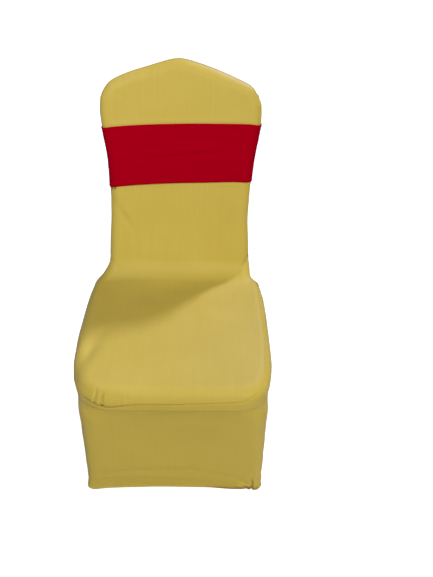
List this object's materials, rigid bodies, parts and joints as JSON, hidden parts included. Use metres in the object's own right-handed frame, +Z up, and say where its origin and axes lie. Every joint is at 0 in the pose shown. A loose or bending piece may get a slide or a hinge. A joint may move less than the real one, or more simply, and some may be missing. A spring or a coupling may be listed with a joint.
{
  "type": "chair cover with sash",
  "caption": "Fitted stretch cover for a crown-backed banquet chair, boxed over the seat and drawn down to foot pockets, with a plain sash band round the back.",
  "frame": {"origin": "inside the cover, under the cloth at the crown's point, midway between the inside and the outside back", "axes": "+X to the right of someone who faces the chair, +Y from the seat's front towards the back, +Z up"},
  "size_m": [0.4633, 0.5681, 0.9548],
  "materials": {
    "cover_knit": "fine warp knit, soft satin sheen",
    "sash_knit": "fine warp knit, matt"
  },
  "bodies": {
    "root": {"front_panel": "cover_knit", "skirt": "cover_knit", "outside_back": "cover_knit", "sash_band": "sash_knit", "foot_pocket_front_left": "cover_knit", "foot_pocket_front_right": "cover_knit", "foot_pocket_rear_left": "cover_knit", "foot_pocket_rear_right": "cover_knit"}
  },
  "joints": []
}
